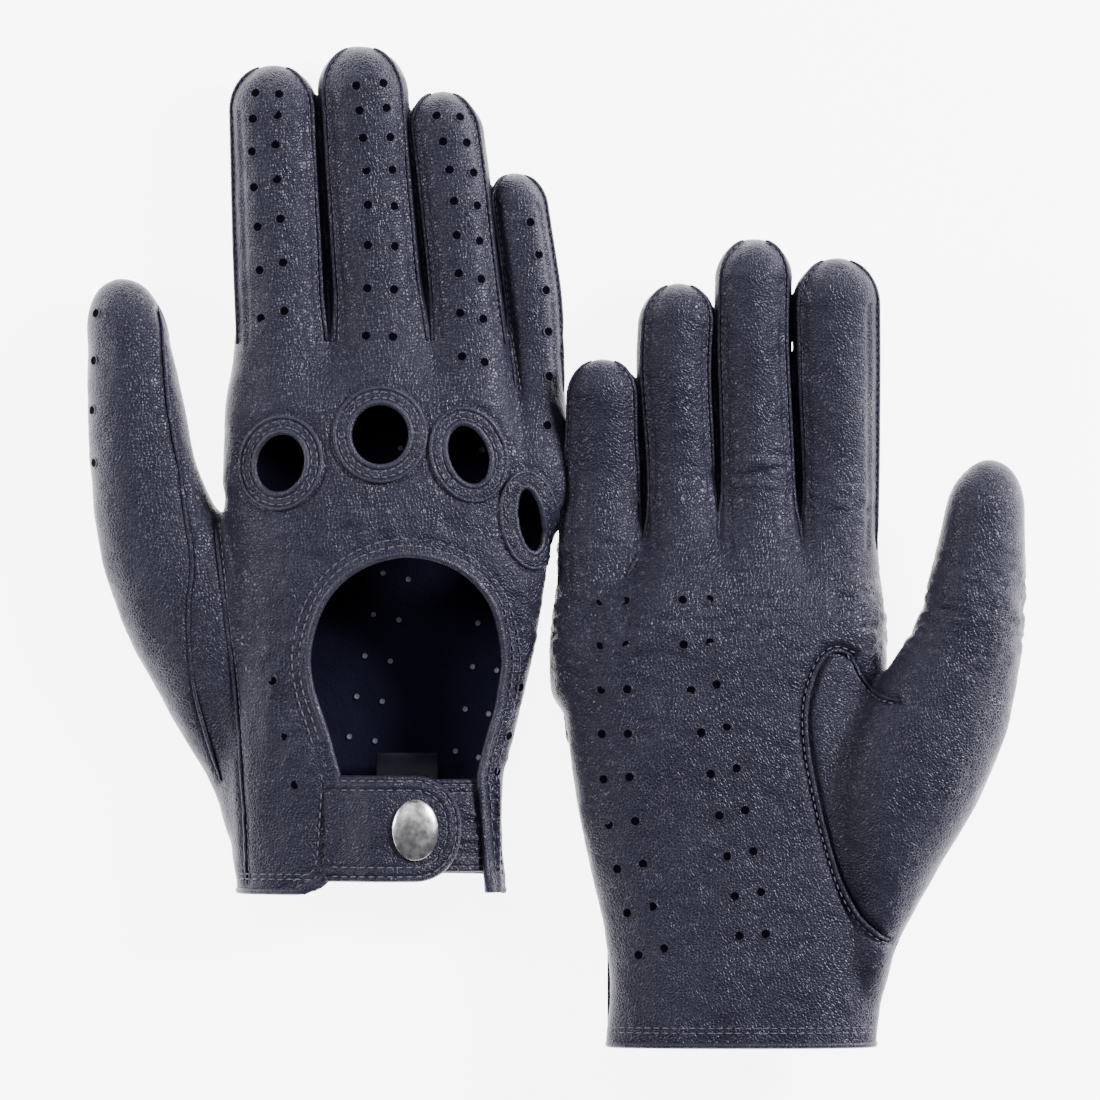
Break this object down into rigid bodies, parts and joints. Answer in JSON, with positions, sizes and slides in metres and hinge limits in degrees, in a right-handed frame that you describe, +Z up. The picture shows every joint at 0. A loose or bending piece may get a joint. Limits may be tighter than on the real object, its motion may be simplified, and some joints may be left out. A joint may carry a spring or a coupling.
{
  "type": "leather driving gloves",
  "caption": "Unlined leather driving gloves lying flat, one palm down and one palm up, with open backs, knuckle holes, fourchettes and a snap strap at the wrist.",
  "frame": {"origin": "on the table, under the middle of the pair's bounding box", "axes": "+Z up from the table; +Y along the fingers, from cuff to fingertips; +X to the right with +Y away, so the palm-down glove is on the -X side"},
  "size_m": [0.2257, 0.2406, 0.0346],
  "materials": {
    "back_leather": "navy, smooth pebbled nappa, satin",
    "palm_leather": "navy, pebbled nappa, satin",
    "fourchette_leather": "darker navy, satin",
    "binding_leather": "navy, thin turned leather, stitched",
    "lining_leather": "near-black navy, matt flesh side",
    "antique_silver": "mottled antique silver, satin",
    "snap_brass": "nickel-plated brass, satin",
    "label_fabric": "woven satin ribbon"
  },
  "bodies": {
    "glove1_hand": {"glove1_back_panel": "back_leather", "glove1_palm_panel": "palm_leather", "glove1_thumb_base": "palm_leather", "glove1_cuff_binding": "binding_leather", "glove1_opening_binding": "binding_leather", "glove1_index_knuckle_binding": "binding_leather", "glove1_middle_knuckle_binding": "binding_leather", "glove1_ring_knuckle_binding": "binding_leather", "glove1_little_knuckle_binding": "binding_leather", "glove1_under_tab": "back_leather", "glove1_snap_stud": "snap_brass", "glove1_snap_post": "snap_brass", "glove1_size_label": "label_fabric", "glove1_thumb_gusset": "palm_leather"},
    "glove1_index": {"glove1_index_finger": "back_leather", "glove1_index_fourchette": "fourchette_leather"},
    "glove1_middle": {"glove1_middle_finger": "back_leather", "glove1_middle_fourchette_outer": "fourchette_leather", "glove1_middle_fourchette_inner": "fourchette_leather"},
    "glove1_ring": {"glove1_ring_finger": "back_leather", "glove1_ring_fourchette_outer": "fourchette_leather", "glove1_ring_fourchette_inner": "fourchette_leather"},
    "glove1_little": {"glove1_little_finger": "back_leather", "glove1_little_fourchette": "fourchette_leather"},
    "glove1_thumb": {"glove1_thumb_tip": "palm_leather"},
    "glove1_strap": {"glove1_strap": "back_leather", "glove1_strap_lining": "lining_leather", "glove1_snap_cap": "antique_silver", "glove1_snap_socket": "snap_brass"},
    "glove2_hand": {"glove2_back_panel": "back_leather", "glove2_palm_panel": "palm_leather", "glove2_thumb_base": "palm_leather", "glove2_cuff_binding": "binding_leather", "glove2_opening_binding": "binding_leather", "glove2_index_knuckle_binding": "binding_leather", "glove2_middle_knuckle_binding": "binding_leather", "glove2_ring_knuckle_binding": "binding_leather", "glove2_little_knuckle_binding": "binding_leather", "glove2_under_tab": "back_leather", "glove2_snap_stud": "snap_brass", "glove2_snap_post": "snap_brass", "glove2_size_label": "label_fabric", "glove2_thumb_gusset": "palm_leather"},
    "glove2_index": {"glove2_index_finger": "back_leather", "glove2_index_fourchette": "fourchette_leather"},
    "glove2_middle": {"glove2_middle_finger": "back_leather", "glove2_middle_fourchette_outer": "fourchette_leather", "glove2_middle_fourchette_inner": "fourchette_leather"},
    "glove2_ring": {"glove2_ring_finger": "back_leather", "glove2_ring_fourchette_outer": "fourchette_leather", "glove2_ring_fourchette_inner": "fourchette_leather"},
    "glove2_little": {"glove2_little_finger": "back_leather", "glove2_little_fourchette": "fourchette_leather"},
    "glove2_thumb": {"glove2_thumb_tip": "palm_leather"},
    "glove2_strap": {"glove2_strap": "back_leather", "glove2_strap_lining": "lining_leather", "glove2_snap_cap": "antique_silver", "glove2_snap_socket": "snap_brass"}
  },
  "joints": [
    {"name": "glove1_index_curl", "type": "hinge", "parent": "glove1_hand", "child": "glove1_index", "pos_m": [-0.0657, 0.0494, 0.0005], "axis": [-0.9994, -0.0346, 0], "range_deg": [0, 75]},
    {"name": "glove1_middle_curl", "type": "hinge", "parent": "glove1_hand", "child": "glove1_middle", "pos_m": [-0.0419, 0.0494, 0.0005], "axis": [-0.9966, -0.0828, 0], "range_deg": [0, 75]},
    {"name": "glove1_ring_curl", "type": "hinge", "parent": "glove1_hand", "child": "glove1_ring", "pos_m": [-0.0206, 0.0494, 0.0005], "axis": [-0.9925, -0.1224, 0], "range_deg": [0, 75]},
    {"name": "glove1_little_curl", "type": "hinge", "parent": "glove1_hand", "child": "glove1_little", "pos_m": [-0.0049, 0.0494, 0.0005], "axis": [-0.992, -0.1265, 0], "range_deg": [0, 75]},
    {"name": "glove1_thumb_curl", "type": "hinge", "parent": "glove1_hand", "child": "glove1_thumb", "pos_m": [-0.09991, 0.0224, 0.0004], "axis": [-0.9932, -0.1161, 0], "range_deg": [0, 60]},
    {"name": "glove1_strap_open", "type": "hinge", "parent": "glove1_hand", "child": "glove1_strap", "pos_m": [-0.0524, -0.0676, 0.02968], "axis": [0, -1, 0], "range_deg": [0, 125]},
    {"name": "glove2_index_curl", "type": "hinge", "parent": "glove2_hand", "child": "glove2_index", "pos_m": [0.068, -0.0002, 0.0202], "axis": [0.9999, 0.0101, 0], "range_deg": [0, 75]},
    {"name": "glove2_middle_curl", "type": "hinge", "parent": "glove2_hand", "child": "glove2_middle", "pos_m": [0.0486, -0.0002, 0.0208], "axis": [0.9999, 0.0109, 0], "range_deg": [0, 75]},
    {"name": "glove2_ring_curl", "type": "hinge", "parent": "glove2_hand", "child": "glove2_ring", "pos_m": [0.0298, -0.0002, 0.0194], "axis": [0.9999, 0.0127, 0], "range_deg": [0, 75]},
    {"name": "glove2_little_curl", "type": "hinge", "parent": "glove2_hand", "child": "glove2_little", "pos_m": [0.0102, -0.0002, 0.0226], "axis": [0.9997, -0.0247, 0], "range_deg": [0, 75]},
    {"name": "glove2_thumb_curl", "type": "hinge", "parent": "glove2_hand", "child": "glove2_thumb", "pos_m": [0.0996, -0.0182, 0.034], "axis": [0.9941, -0.1087, 0], "range_deg": [0, 60]},
    {"name": "glove2_strap_open", "type": "hinge", "parent": "glove2_hand", "child": "glove2_strap", "pos_m": [0.0514, -0.1042, 0.0051], "axis": [0, -1, 0], "range_deg": [0, 90]},
    {"name": "glove2_lift", "type": "slide", "parent": "glove1_hand", "child": "glove2_hand", "axis": [0, 0, 1], "range_m": [0, 0.12]}
  ]
}
